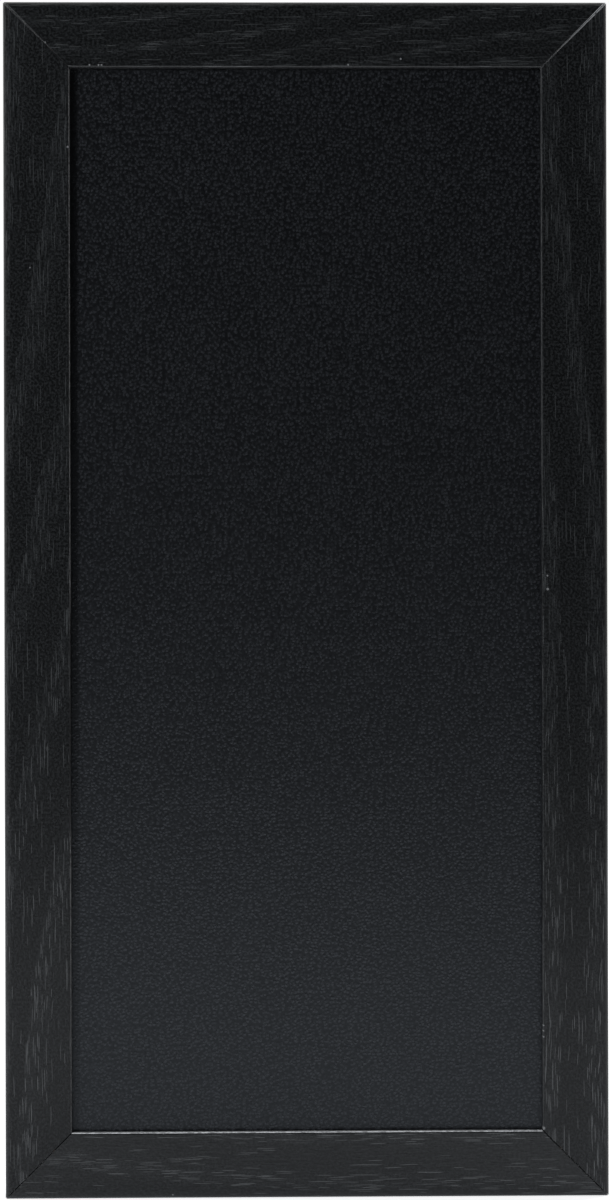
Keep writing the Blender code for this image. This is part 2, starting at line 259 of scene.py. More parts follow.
OUTER_ROUND = 2.6 * MM
OUTER_STEPS = 14
SIGHT_ROUND = 0.7 * MM
SIGHT_STEPS = 8
BACK_ROUND = 0.6 * MM
BACK_STEPS = 5
PANEL_SEAT_GAP = 0.3 * MM
PANEL_EDGE_GAP = 0.8 * MM
MITRE_GAP = 0.22 * MM
EASED_EDGE = 0.12 * MM
EASED_FROM_ANGLE = math.radians(40)
lip_thickness = panel_low.y - front_y - PANEL_SEAT_GAP
rebate_wall = panel_low.x - cad_low.x - PANEL_EDGE_GAP

sight_centre = (face_width - SIGHT_ROUND, SIGHT_ROUND)
profile = arc((OUTER_ROUND, OUTER_ROUND), OUTER_ROUND, 180, 270, OUTER_STEPS)
profile += arc(sight_centre, SIGHT_ROUND, 270, 360, SIGHT_STEPS)
profile += [
    Vector((face_width, lip_thickness)),
    Vector((rebate_wall, lip_thickness)),
    Vector((rebate_wall, rail_depth)),
]
profile += arc((BACK_ROUND, rail_depth - BACK_ROUND), BACK_ROUND, 90, 180, BACK_STEPS)

# Each side's length, its middle's distance from the board's, and its turn about Y in degrees
SIDES = {
    "left_stile": (board_height, board_width / 2, 0),
    "top_rail": (board_width, board_height / 2, 90),
    "right_stile": (board_height, board_width / 2, 180),
    "bottom_rail": (board_width, board_height / 2, 270),
}


def side_frame(side):
    """A side's own axes: X from its outer edge to the middle, Y from front to back, Z along it."""
    reach, turn = SIDES[side][1:]
    turned = Matrix.Rotation(math.radians(turn), 4, "Y")
    return Matrix.Translation(board_middle) @ turned @ Matrix.Translation((-reach, 0, 0))


moulding, (outline, length, gap, material) = new_tree(
    "mitred_moulding", length="Float", mitre_gap="Float", material="Material"
)
path = moulding.add(
    "GeometryNodeCurvePrimitiveLine",
    {},
    {"Start": moulding.vector(0, 0, -length / 2), "End": moulding.vector(0, 0, length / 2)},
)
section = moulding.add("GeometryNodeMeshToCurve", {}, {"Mesh": outline})
swept = moulding.add(
    "GeometryNodeCurveToMesh", {}, {"Curve": path, "Profile Curve": section, "Fill Caps": True}
)
across, depth, along = moulding.axes(moulding.add("GeometryNodeInputPosition"))
mitred_along = along * (1 - (across + gap * math.sqrt(0.5)) / (length / 2))
mitred = moulding.add(
    "GeometryNodeSetPosition",
    {},
    {"Geometry": swept, "Position": moulding.vector(across, depth, mitred_along)},
)
finish_tree(moulding, mitred, material)


# The foil: black, printed and pressed with oak. Its pores are short grey dashes, strewn everywhere
# and crowded along the growth rings. The fold at the sight edge is grey, partly from whitened foil
# and partly as a painted highlight, palest on the bottom rail, whose fold faces the light from
# above. Some mitres' edges are grey from wear and from a painted highlight where they face the light
# at the upper left, and a few knocks are grey from wear. It turns round onto the back, where the
# bare fibreboard starts.
BLACK = (0.0028, 0.0030, 0.0031, 1)
BLACK_PALER = (0.0148, 0.0157, 0.0162, 1)
PORE_GREY = (0.031, 0.033, 0.0335, 1)
# The grey of wear at the knocks, and of wear and painted highlight at the mitres' edges
WORN_AND_LIT_GREY = (0.34, 0.34, 0.34, 1)
FIBREBOARD = (0.42, 0.29, 0.18, 1)
FIBREBOARD_DARK = (0.27, 0.17, 0.10, 1)
SHINE = {"left_stile": 0.36, "top_rail": 0.5, "right_stile": 0.36, "bottom_rail": 0.5}
FOIL_ROUGHNESS = 0.33
PORE_GLOSS = {"Coat_Roughness": 0.3, "Coat_IOR": 1.85}

# The growth rings of each side: how far apart they are in mm, the line that one of them follows as
# two distances from the outer edge and the two places along the side between which it goes from the
# first to the second, and how pale the mitres' edges are at the near and the far end, from wear and
# from a painted highlight where they face the light at the upper left
GRAIN = {
    "left_stile": (18.7, (-34, 38), (-200, 200), (0.0, 0.18)),
    "top_rail": (9.3, (23.5, -2.5), (-75, 110), (0.18, 1.0)),
    "right_stile": (15.4, (15.6, 1.0), (-172, -5), (1.0, 0.0)),
    "bottom_rail": (15.5, (2.2, 12), (0, 110), (0.0, 0.0)),
}
# How grey each fold is painted, as whitened foil and as a painted highlight that is palest on the
# bottom rail and darkest on the top one, and from where to where along the side, in mm, it is hardly
# pale
FOLD_WHITENING_AND_HIGHLIGHT = {
    "left_stile": (0.26, (-75, -5)),
    "top_rail": (0.024, (60, 80)),
    "right_stile": (0.043, (-38, 104)),
    "bottom_rail": (0.76, (200, 200)),
}
# The knocks that have broken each side's foil, by their distance from its outer edge, their place
# along it and their half width, all in mm
KNOCKS = {
    "left_stile": ((21.7, 151.3, 0.45), (9.0, 111.0, 0.25)),
    "top_rail": (
        (13.9, -86.8, 0.35),
        (21.4, -72, 0.35),
        (21.4, -69, 0.35),
        (21.4, -68, 0.35),
        (21.3, 14.3, 0.35),
        (19.3, 31.9, 0.4),
    ),
    "right_stile": (
        (20.4, -7.9, 0.35),
        (20.3, -3.4, 0.5),
        (22, 142.6, 0.3),
        (22, 144.4, 0.3),
        (22, 146.4, 0.35),
        (22, 177, 0.6),
    ),
    "bottom_rail": ((1.4, 45.1, 0.35), (22, 48.2, 0.4)),
}
KNOCK_SHARE = 0.38

# Three sizes of pore: the room in mm that each has across and along, and its half width there
RING_PORES = ((0.7, 16.0, 0.21), (0.85, 24.0, 0.18))
STREWN_PORES = (1.2, 40.0, 0.16)

# The other sizes in mm. The two values of a size are across and along the grain, and the two of
# the fold are the ends of a gradual change.
RING_SWAY = 3.0
RING_SWAY_SIZE = (60, 28)
GRAIN_WANDER = 2
GRAIN_WANDER_SIZE = (30, 25)
PORE_GATHER_SIZE = (8, 35)
LINE_SIZE = (0.5, 12)
NAP_SIZE = (0.35, 5)
GRIT_SIZE = 0.8
# The mitres' pale edges, worn and with painted highlight: their width, and how much wider they flare
# towards the outer edge
MITRE_HIGHLIGHT_AND_WEAR_WIDTH = 0.18
MITRE_HIGHLIGHT_AND_WEAR_FLARE = 0.33
FOLD_WIDTH = (0.32, 0.16)
FOLD_DEPTH = (1.2, 2.8)
FOLD_FADE = (10, 5)
FOIL_ON_BACK = 4.5
FOIL_END_SWAY = 0.8
FOIL_END_SWAY_SIZE = 9
PRESS_DEPTH = 0.06


def grain(nodes, across, along, seed, size, detail, roughness=0.5):
    """Noise that is drawn out along the grain, of one size across it and another along it."""
    place = nodes.vector(across / size[0], seed, along / size[1])
    return nodes.noise(place, 1, detail, roughness)


def reached(distance, limit):
    """One from just short of a limit, which is given in metres."""
    return distance.between(limit / MM - 0.05, limit / MM - 0.02)


def pores(nodes, across, along, size, share):
    """Dashes laid along the grain, kept in as many of their places as share says."""
    room_across, room_along, half_width = size
    near, (here, light, short) = nodes.cells(across / room_across, along / room_along)
    edge = short * (half_width * 0.5) + half_width * 0.5
    inside = 1 - (near / edge).between(0.7, 1.0)
    kept = (share - here).between(0, 0.04)
    return inside * kept * (light * 0.6 + 0.4)


def growth_rings(nodes, side, round_edge, across, along, seed):
    """How much of the early wood, with its crowd of pores, each place has."""
    ring_width, (first, last), between_places, _ = GRAIN[side]
    sway = grain(nodes, across, along, seed, RING_SWAY_SIZE, 1)
    line = along.between(*between_places) * (last - first) + first
    ring = (round_edge - line + (sway - 0.5) * RING_SWAY * 2) / ring_width
    in_ring = ring - ring.math("FLOOR", ring)
    return in_ring.between(0.0, 0.05) * (1 - in_ring.between(0.15, 0.6))


def wear_and_painted_highlights(nodes, side, across, depth, along):
    """How pale each place is: worn and with painted highlight at the mitres, worn at the knocks, and
    whitened and with painted highlight at the fold.
    """
    mitre_wear_and_highlight = GRAIN[side][3]
    start, end = FOLD_WHITENING_AND_HIGHLIGHT[side][1]
    inner = face_width / MM
    break_up = nodes.noise(nodes.vector(across / 0.8, depth / 0.8, along / 1.5), 1, 2)

    half_length = SIDES[side][0] / MM / 2
    from_mitre = (half_length - along.math("ABSOLUTE", along) - across) * math.sqrt(0.5)
    far_end = along.between(-1, 1)
    # Painted highlight and wear on the mitres' edges, brightest where they face the light at the
    # upper left
    mitre_highlight_and_wear_here = far_end * mitre_wear_and_highlight[1] + (1 - far_end) * mitre_wear_and_highlight[0]
    outward = 1 - across / inner
    width = outward * outward * MITRE_HIGHLIGHT_AND_WEAR_FLARE + MITRE_HIGHLIGHT_AND_WEAR_WIDTH
    worn_and_lit = (1 - (from_mitre / width).between(0.7, 1.0)) * mitre_highlight_and_wear_here * break_up.between(0.2, 0.5)
    for knock_across, knock_along, half_width in KNOCKS[side]:
        off_across = across - knock_across
        off_along = along - knock_along
        off = off_across * off_across + off_along * off_along
        outside = (off / half_width**2).between(0.4, 1.0)
        worn_and_lit = worn_and_lit.math("MAXIMUM", worn_and_lit, KNOCK_SHARE - outside * KNOCK_SHARE)

    # The fold is painted pale, as whitened foil and as a painted highlight; it fades down the wall,
    # so the wall beside the panel stays black
    whitened_lit_fold = across.between(inner - FOLD_WIDTH[0], inner - FOLD_WIDTH[1])
    whitened_lit_fold = whitened_lit_fold * (1 - depth.between(*FOLD_DEPTH))
    # Along one stretch of each side the fold's painted paleness fades out
    fold_left_dark = along.between(start - FOLD_FADE[0], start + FOLD_FADE[1])
    fold_left_dark = fold_left_dark * (1 - along.between(end - FOLD_FADE[1], end + FOLD_FADE[0]))
    return worn_and_lit, whitened_lit_fold * (break_up.between(0.3, 0.7) * 0.7 + 0.4) * (1 - fold_left_dark * 0.85)


def bare_wood(nodes, across, depth, along, seed):
    """Where the moulding has no foil: on the back, past the foil's own edge, and in the rebate."""
    sway = nodes.noise(nodes.vector(0, seed, along / FOIL_END_SWAY_SIZE), 1, 2) * FOIL_END_SWAY
    past_foil = (across - sway).between(FOIL_ON_BACK, FOIL_ON_BACK + 0.08)
    on_back = reached(depth, rail_depth) * past_foil
    in_rebate = reached(across, rebate_wall) * reached(depth, lip_thickness)
    return on_back.math("MAXIMUM", on_back, in_rebate)


def foil(side):
    """One side's material, whose places are measured on that side's own axes."""
    reach, turn = SIDES[side][1:]
    fold_whitening_and_highlight = FOLD_WHITENING_AND_HIGHLIGHT[side][0]
    seed = turn / 9 + 3
    back_turn = Matrix.Rotation(math.radians(-turn), 3, "Y")
    start = (Vector((reach, 0, 0)) - back_turn @ board_middle) / MM
    finish = Finish(f"foil_{side}", Specular_IOR_Level=SHINE[side], **PORE_GLOSS)
    nodes = finish.nodes
    across, depth, along = nodes.axes(finish.place(start, (0, math.radians(-turn), 0)))
    # The print runs on round both edges, where depth takes its place across further
    off_middle = across - face_width / MM / 2
    round_edge = across + depth * off_middle.math("SIGN", off_middle)

    early = growth_rings(nodes, side, round_edge, across, along, seed)
    wander = grain(nodes, round_edge, along, seed + 5, GRAIN_WANDER_SIZE, 1)
    grain_across = round_edge + wander * GRAIN_WANDER
    gather = grain(nodes, round_edge, along, seed + 9, PORE_GATHER_SIZE, 1)
    printed = pores(nodes, grain_across, along, STREWN_PORES, gather.between(0.3, 0.7)) * 0.8
    for size in RING_PORES:
        more = pores(nodes, grain_across + size[1], along, size, early * 0.85 + 0.1)
        printed = printed.math("MAXIMUM", printed, more)

    lines = grain(nodes, grain_across, along, seed, LINE_SIZE, 2, 0.6)
    grit = nodes.noise(nodes.vector(across, depth, along), 1 / GRIT_SIZE, 1).between(0.40, 0.64)
    ground = grit * 0.75 + lines.between(0.35, 0.65) * (early * 0.4 + 0.1)
    worn_and_lit, whitened_lit_fold = wear_and_painted_highlights(nodes, side, across, depth, along)
    colour = nodes.mix(ground, BLACK, BLACK_PALER)
    colour = nodes.mix(printed, colour, PORE_GREY)
    # The fold's whitening and painted highlight, palest on the bottom rail
    colour = nodes.mix(whitened_lit_fold, colour, (fold_whitening_and_highlight, fold_whitening_and_highlight, fold_whitening_and_highlight, 1))
    # The mitres' painted highlight and wear, and the knocks' wear, in grey
    colour = nodes.mix(worn_and_lit, colour, WORN_AND_LIT_GREY)

    bare = bare_wood(nodes, across, depth, along, seed)
    fibres = nodes.noise(nodes.vector(across / 0.35, depth / 0.35, along / 0.9), 1, 4, 0.65)
    wood = nodes.mix(fibres, FIBREBOARD_DARK, FIBREBOARD)
    finish.feed("Base Color", nodes.mix(bare, colour, wood))
    finish.feed("Roughness", bare * 0.4 + whitened_lit_fold * 0.2 + FOIL_ROUGHNESS - lines * 0.1)
    finish.feed("Coat Weight", printed)
    nap = grain(nodes, round_edge, along, seed, NAP_SIZE, 2)
    finish.bump(nap - printed * 0.4 + fibres * bare * 0.8, PRESS_DEPTH)
    return finish.material


rails = {}
for side in SIDES:
    rail = new_object(f"{side}_moulding", loop_mesh(side, profile))
    run_tree(
        rail, moulding.tree, length=SIDES[side][0], mitre_gap=MITRE_GAP, material=foil(side)
    )
    eased = rail.modifiers.new("eased", "BEVEL")
    eased.width = EASED_EDGE
    eased.segments = 2
    eased.angle_limit = EASED_FROM_ANGLE
    plain_mesh(rail)
    rail.data.transform(side_frame(side))
    shade(rail)
    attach(rail, "root")
    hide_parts(side)
    rails[side] = rail


# The panel. A sheet of 3 mm hardboard: its face has a matte black chalk coat, rolled on thick, so
# that it dries pebbled like fine leather. The back and the edges are bare brown board, smooth from
# the press.
COAT = (0.0024, 0.0025, 0.0028, 1)
COAT_PALER = (0.0196, 0.0207, 0.0227, 1)
HARDBOARD = (0.30, 0.17, 0.09, 1)
HARDBOARD_DARK = (0.17, 0.09, 0.045, 1)
COAT_ROUGHNESS = 0.33
HARDBOARD_ROUGHNESS = 0.57
# The coat's thickness, the sizes of its and the board's patterns, and their relief, all in mm
COAT_THICKNESS = 0.3
PEBBLE_SIZE = 1.1
ROLL_SIZE = 1.4
MOTTLE_SIZE = 14
FLECK_SIZE = 2.2
PANEL_RELIEF = 0.27

coat = Finish("chalk_coat_on_hardboard", Specular_Tint=(0.94, 1.0, 1.06, 1))
nodes = coat.nodes
place = coat.place()
x, y, z = nodes.axes(place)
coat_back = panel_low.y / MM + COAT_THICKNESS
behind = y.between(coat_back, coat_back + 0.05)
wobble = nodes.noise(place, 1 / PEBBLE_SIZE, 0) * 0.6
near, chances = nodes.cells(x / PEBBLE_SIZE + wobble, z / PEBBLE_SIZE + wobble)
pebbles = (1 - near.between(0.05, 0.6)) * (chances[1] * 0.7 + 0.3)
roll = nodes.noise(place, 1 / ROLL_SIZE, 2, 0.5)
rubbed = nodes.noise(place, 1 / MOTTLE_SIZE, 3, 0.6).between(0.35, 0.75)
fibres = nodes.noise(nodes.vector(x / 0.6, y, z / 0.45), 1, 5, 0.7)
flecks = nodes.noise(place, 1 / FLECK_SIZE, 4, 0.7).between(0.55, 0.7)
black = nodes.mix(pebbles * 0.95 + rubbed * 0.05, COAT, COAT_PALER)
brown = nodes.mix(fibres.between(0.25, 0.75) * 0.7 + flecks * 0.3, HARDBOARD, HARDBOARD_DARK)
roughness = behind * (HARDBOARD_ROUGHNESS - COAT_ROUGHNESS) + COAT_ROUGHNESS
relief = (1 - behind) * (roll * 0.1 + pebbles * 0.15) + behind * fibres * 0.12
coat.feed("Base Color", nodes.mix(behind, black, brown))
coat.feed("Roughness", roughness + roll * 0.04 - pebbles * 0.1)
coat.bump(relief, PANEL_RELIEF)

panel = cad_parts["chalk_panel"]
panel.material_slots[0].material = coat.material


# The V nails. Two bent strips of blued spring steel stand in each mitre, driven from behind until
# they are just under the wood. Their sharp lower edges are inside, and only the rear edges show.
PRESS_GAP = 0.1 * MM
CUT_OVERRUN = 2 * MM
BLUED = (0.075, 0.085, 0.105, 1)
BLUED_BARE = (0.32, 0.31, 0.30, 1)

blued = Finish("blued_spring_steel", Metallic=1.0)
nodes = blued.nodes
place = blued.place()
streaks = nodes.noise(place, 1 / 0.5, 4, 0.7)
blued.feed("Base Color", nodes.mix(streaks.between(0.5, 0.8), BLUED, BLUED_BARE))
blued.feed("Roughness", streaks * 0.3 + 0.3)
blued.bump(streaks, depth_mm=0.02)


def cut_into_wood(node, sides, opened=0):
    """Cuts the room that a driven piece makes in the wood, opened behind it where it is sunk."""
    cutter = new_object("room_for_" + node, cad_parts[node].data.copy())
    shape = bmesh.new()
    shape.from_mesh(cutter.data)
    bmesh.ops.remove_doubles(shape, verts=shape.verts, dist=PRESS_GAP / 100)
    back = max(vert.co.y for vert in shape.verts)
    for vert in shape.verts:
        reach_back = opened if vert.co.y > back - PRESS_GAP else 0
        vert.co += vert.normal * PRESS_GAP * vert.calc_shell_factor()
        vert.co.y += reach_back
    shape.to_mesh(cutter.data)
    shape.free()
    cutter.data.materials.clear()
    for side in sides:
        room = rails[side].modifiers.new("room", "BOOLEAN")
        room.object = cutter
        shade(plain_mesh(rails[side]))
    bpy.data.objects.remove(cutter)


CORNERS = {
    "top_left": ("top_rail", "left_stile"),
    "top_right": ("top_rail", "right_stile"),
    "bottom_right": ("bottom_rail", "right_stile"),
    "bottom_left": ("bottom_rail", "left_stile"),
}
for corner, sides in CORNERS.items():
    for which in ("outer", "inner"):
        node = f"v_nail_{corner}_{which}"
        cut_into_wood(node, sides, CUT_OVERRUN)
        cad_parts[node].material_slots[0].material = blued.material


# The panel's tabs. Twelve flat steel points, stamped from zinc-plated sheet. Each is fired into the
# rebate's wall by its sharp end, and its rounded end lies on the panel's back and holds it in.
ZINC = (0.60, 0.61, 0.62, 1)
ZINC_DULL = (0.42, 0.43, 0.44, 1)
ZINC_YELLOWED = (0.56, 0.54, 0.47, 1)
TAB_THICKNESS = 0.5 * MM
TAB_BITE = 5 * MM
TAB_POINT = 3 * MM
TAB_REACH = 9.5 * MM
TAB_HALF_WIDTH = 4 * MM
TAB_CORNER = 1.6 * MM
TAB_CORNER_STEPS = 6
TAB_EASED = 0.08 * MM
TAB_LIFT = 0.35 * MM
TAB_STRIPS = 12
TABS = {"left_stile": 4, "top_rail": 2, "right_stile": 4, "bottom_rail": 2}
TAB_END_DISTANCE = 50 * MM

zinc = Finish("zinc_plate", Metallic=1.0)
nodes = zinc.nodes
place = zinc.place()
crystals = {"Vector": place, "Scale": 1 / 1.3}
spangle = nodes.axes(nodes.add("ShaderNodeTexVoronoi", {}, crystals, output="Color"))[0]
cloudy = nodes.noise(place, 1 / 3.5, 3, 0.6)
x, y, z = nodes.axes(place)
drawn = nodes.noise(nodes.vector(x / 0.12, y / 0.12, z / 2.5), 1, 3, 0.6)
zinc_colour = nodes.mix(cloudy.between(0.4, 0.7), ZINC, ZINC_DULL)
zinc_colour = nodes.mix(cloudy.between(0.55, 0.8) * spangle * 0.6, zinc_colour, ZINC_YELLOWED)
zinc.feed("Base Color", zinc_colour)
zinc.feed("Roughness", cloudy * 0.22 + spangle * 0.1 + drawn * 0.1 + 0.1)
zinc.bump(drawn * 0.4 + cloudy * 0.6, depth_mm=0.02)

copying, (original, places, material) = new_tree("copies", places="Object", material="Material")
spots = copying.add(
    "GeometryNodeObjectInfo",
    {"transform_space": "ORIGINAL"},
    {"Object": places},
    output="Geometry",
)
turn = copying.add("GeometryNodeInputNamedAttribute", {"data_type": "FLOAT"}, {"Name": "turn"})
laid = copying.add(
    "GeometryNodeInstanceOnPoints",
    {},
    {"Points": spots, "Instance": original, "Rotation": copying.vector(0, turn, 0)},
)
finish_tree(copying, laid, material)


def lay_copies(piece, places, finish):
    """Makes a piece into one mesh of copies, each at a side and at a point on that side's axes."""
    points = [side_frame(side) @ Vector(point) for side, point in places]
    mesh = bpy.data.meshes.new(piece.name + "_places")
    mesh.from_pydata(points, [], [])
    turns = mesh.attributes.new("turn", "FLOAT", "POINT")
    turns.data.foreach_set("value", [math.radians(SIDES[side][2]) for side, point in places])
    guide = new_object(mesh.name, mesh)
    piece.data.materials.append(finish.material)
    run_tree(piece, copying.tree, places=guide, material=finish.material)
    shade(plain_mesh(piece))
    bpy.data.objects.remove(guide)
    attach(piece, "root")


SHEET_EASED_FROM_ANGLE = math.radians(50)


def sheet_piece(name, outline, holes, strips, depth_at, thickness, eased):
    """A stamped piece: an outline in X and Z, with holes, which is bent in depth along strips."""
    shape = bmesh.new()
    for loop in (outline, *holes):
        verts = [shape.verts.new((x, 0, z)) for x, z in loop]
        for pair in zip(verts, verts[1:] + verts[:1]):
            shape.edges.new(pair)
    bmesh.ops.triangle_fill(shape, edges=shape.edges, use_beauty=True, normal=(0, 1, 0))
    for cut_at, across in strips:
        everything = [*shape.verts, *shape.edges, *shape.faces]
        bmesh.ops.bisect_plane(shape, geom=everything, plane_co=cut_at, plane_no=across)
    for vert in shape.verts:
        vert.co.y = depth_at(vert.co.x, vert.co.z)
    bmesh.ops.recalc_face_normals(shape, faces=shape.faces)
    mesh = bpy.data.meshes.new(name)
    shape.to_mesh(mesh)
    shape.free()
    piece = new_object(name, mesh)
    sheet = piece.modifiers.new("sheet", "SOLIDIFY")
    sheet.thickness = thickness
    sheet.offset = 0
    sheet.use_even_offset = True
    edges = piece.modifiers.new("eased", "BEVEL")
    edges.width = eased
    edges.segments = 2
    edges.angle_limit = SHEET_EASED_FROM_ANGLE
    return piece


corner_reach = TAB_REACH - TAB_CORNER
corner_side = TAB_HALF_WIDTH - TAB_CORNER
tab_outline = [
    Vector((-TAB_BITE, 0)),
    Vector((-TAB_BITE + TAB_POINT, -TAB_HALF_WIDTH)),
    *arc((corner_reach, -corner_side), TAB_CORNER, 270, 360, TAB_CORNER_STEPS),
    *arc((corner_reach, corner_side), TAB_CORNER, 0, 90, TAB_CORNER_STEPS),
    Vector((-TAB_BITE + TAB_POINT, TAB_HALF_WIDTH)),
]
tab_strips = []
for number in range(TAB_STRIPS):
    tab_strips.append(((TAB_REACH * number / TAB_STRIPS, 0, 0), (1, 0, 0)))
tabs = sheet_piece(
    "panel_tabs",
    outline=tab_outline,
    holes=(),
    strips=tab_strips,
    depth_at=lambda x, z: TAB_LIFT * max(0, x / TAB_REACH) ** 3,
    thickness=TAB_THICKNESS,
    eased=TAB_EASED,
)
tab_low, tab_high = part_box("panel_tab_left_stile_1")
tab_depth = (tab_low.y + tab_high.y) / 2 - front_y
tab_places, tab_nodes = [], []
for side, count in TABS.items():
    span = SIDES[side][0] - 2 * TAB_END_DISTANCE
    for number in range(count):
        tab_places.append((side, (rebate_wall, tab_depth, span * (number / (count - 1) - 0.5))))
        node = f"panel_tab_{side}_{number + 1}"
        cut_into_wood(node, [side])
        tab_nodes.append(node)
lay_copies(tabs, tab_places, zinc)
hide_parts(*tab_nodes)


# The hangers. Two saw-tooth hangers, stamped from zinc-plated strip: feet flat on the wood, a bridge
# that stands clear of it, and eleven notches for the nail. One hangs the board upright and the
# other, on the left stile, hangs it sideways.
HANGER_LENGTH = 45 * MM
HANGER_SHEET = 0.8 * MM
HANGER_CORNER = 1.3 * MM
HANGER_CORNER_STEPS = 5
HANGER_EASED = 0.1 * MM
FOOT_LENGTH = 6.4 * MM
BRIDGE_RAMP = 1.6 * MM
BRIDGE_LIFT = 1.2 * MM
RAMP_STEPS = 8
NOTCH_PITCH = 2.1 * MM
NOTCH_HALF_WIDTH = 0.8 * MM
NOTCH_DEPTH = 1.3 * MM
NOTCH_ROOT = 0.12 * MM
NOTCHES_EACH_WAY = 5
PIN_HOLE = 1.0 * MM
PIN_HOLE_SIDES = 24
HANGERS = {"upright": "top_rail", "sideways": "left_stile"}

hanger_low, hanger_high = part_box("hanger_upright")
hanger_top = cad_high.z - hanger_high.z
hanger_edge = cad_high.z - hanger_low.z
hanger_middle = (hanger_top + hanger_edge) / 2
foot_depth = hanger_low.y - front_y + HANGER_SHEET / 2
ramp_start = HANGER_LENGTH / 2 - FOOT_LENGTH - BRIDGE_RAMP
pin_along = (HANGER_LENGTH - FOOT_LENGTH) / 2


def hanger_outline():
    """The strip's outline: across the rail and along it, with the notches in its lower edge."""
    end, corner, steps = HANGER_LENGTH / 2 - HANGER_CORNER, HANGER_CORNER, HANGER_CORNER_STEPS
    root = hanger_edge - NOTCH_DEPTH
    points = arc((hanger_top + corner, end), corner, 180, 90, steps)
    points += arc((hanger_edge - corner, end), corner, 90, 0, steps)
    for number in range(NOTCHES_EACH_WAY, -NOTCHES_EACH_WAY - 1, -1):
        middle = number * NOTCH_PITCH
        points += [
            Vector((hanger_edge, middle + NOTCH_HALF_WIDTH)),
            Vector((root + NOTCH_ROOT, middle + NOTCH_ROOT)),
            Vector((root, middle)),
            Vector((root + NOTCH_ROOT, middle - NOTCH_ROOT)),
            Vector((hanger_edge, middle - NOTCH_HALF_WIDTH)),
        ]
    points += arc((hanger_edge - corner, -end), corner, 0, -90, steps)
    return points + arc((hanger_top + corner, -end), corner, 270, 180, steps)


def hanger_depth(across, along):
    """How deep the bent strip lies: on the wood at its feet and clear of it between them."""
    down_ramp = min(1, max(0, (abs(along) - ramp_start) / BRIDGE_RAMP))
    return foot_depth + BRIDGE_LIFT * (1 - down_ramp**2 * (3 - 2 * down_ramp))


ramp_strips = []
for step in range(RAMP_STEPS + 1):
    for end in (-1, 1):
        bend = end * (ramp_start + BRIDGE_RAMP * step / RAMP_STEPS)
        ramp_strips.append(((0, 0, bend), (0, 0, 1)))
pin_holes = []
for end in (-1, 1):
    hole = arc((hanger_middle, end * pin_along), PIN_HOLE, 0, 360, PIN_HOLE_SIDES)
    pin_holes.append(hole[:-1])
for way_up, side in HANGERS.items():
    hanger = sheet_piece(
        f"hanger_{way_up}_strip",
        outline=hanger_outline(),
        holes=pin_holes,
        strips=ramp_strips,
        depth_at=hanger_depth,
        thickness=HANGER_SHEET,
        eased=HANGER_EASED,
    )
    lay_copies(hanger, [(side, (0, 0, 0))], zinc)
    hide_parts(f"hanger_{way_up}")


# The pins. Four small zinc-plated steel pins, with low domed heads, nail the hangers' feet to the
# back of the rails.
PIN_HEAD_RADIUS = 1.7 * MM
PIN_HEAD_HEIGHT = 0.6 * MM
PIN_HEAD_RIM = 0.12 * MM
PIN_SHANK_RADIUS = 0.8 * MM
PIN_LENGTH = 8.5 * MM
PIN_POINT = 1.6 * MM
PIN_STEPS = 32
PIN_DOME_STEPS = 7


def turned_mesh(name, profile, steps):
    """A round piece about Y, by its radius and height from its tip on +Y down to its other end."""
    tip, *rings, end = profile
    points = [(0, tip[1], 0), (0, end[1], 0)]
    faces = []
    for step in range(steps):
        angle = math.tau * step / steps
        for radius, height in rings:
            points.append((radius * math.cos(angle), height, radius * math.sin(angle)))
        here = 2 + step * len(rings)
        there = 2 + (step + 1) % steps * len(rings)
        last = len(rings) - 1
        faces += [(0, there, here), (1, here + last, there + last)]
        for ring in range(last):
            faces.append((here + ring, there + ring, there + ring + 1, here + ring + 1))
    mesh = bpy.data.meshes.new(name)
    mesh.from_pydata(points, [], faces)
    return mesh


dome_rise = PIN_HEAD_HEIGHT - PIN_HEAD_RIM
dome_radius = (PIN_HEAD_RADIUS**2 + dome_rise**2) / (2 * dome_rise)
dome_half_angle = math.degrees(math.asin(PIN_HEAD_RADIUS / dome_radius))
dome_centre = (0, PIN_HEAD_HEIGHT - dome_radius)
pin_profile = arc(dome_centre, dome_radius, 90, 90 - dome_half_angle, PIN_DOME_STEPS)
pin_profile += [
    Vector((PIN_HEAD_RADIUS - PIN_HEAD_RIM / 2, 0)),
    Vector((PIN_SHANK_RADIUS, 0)),
    Vector((PIN_SHANK_RADIUS, PIN_POINT - PIN_LENGTH)),
    Vector((0, -PIN_LENGTH)),
]
pins = new_object("hanger_pins", turned_mesh("hanger_pins", pin_profile, PIN_STEPS))
pin_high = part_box("hanger_upright_pin_1")[1]
pin_seat = pin_high.y - PIN_HEAD_HEIGHT - front_y
pin_places, pin_nodes = [], []
for way_up, side in HANGERS.items():
    for number, end in ((1, -1), (2, 1)):
        pin_places.append((side, (hanger_middle, pin_seat, end * pin_along)))
        node = f"hanger_{way_up}_pin_{number}"
        cut_into_wood(node, [side])
        pin_nodes.append(node)
lay_copies(pins, pin_places, zinc)
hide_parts(*pin_nodes)


# The bumpers. Four discs of dark moulded rubber, stuck near the stiles' ends by a thin pad. They
# keep the board level on the wall and the hangers clear of it.
RUBBER = (0.030, 0.030, 0.031, 1)
RUBBER_DUSTY = (0.075, 0.073, 0.070, 1)
BUMPER_RADIUS = 4.5 * MM
BUMPER_TOP_RADIUS = 4.25 * MM
BUMPER_RIM = 0.7 * MM
BUMPER_RIM_STEPS = 6
BUMPER_DRAFT = 5
BUMPER_EASED = 0.08 * MM
BUMPER_PAD_RADIUS = 4.3 * MM
BUMPER_PAD = 0.28 * MM
BUMPER_END_DISTANCE = 30 * MM
BUMPER_STEPS = 48

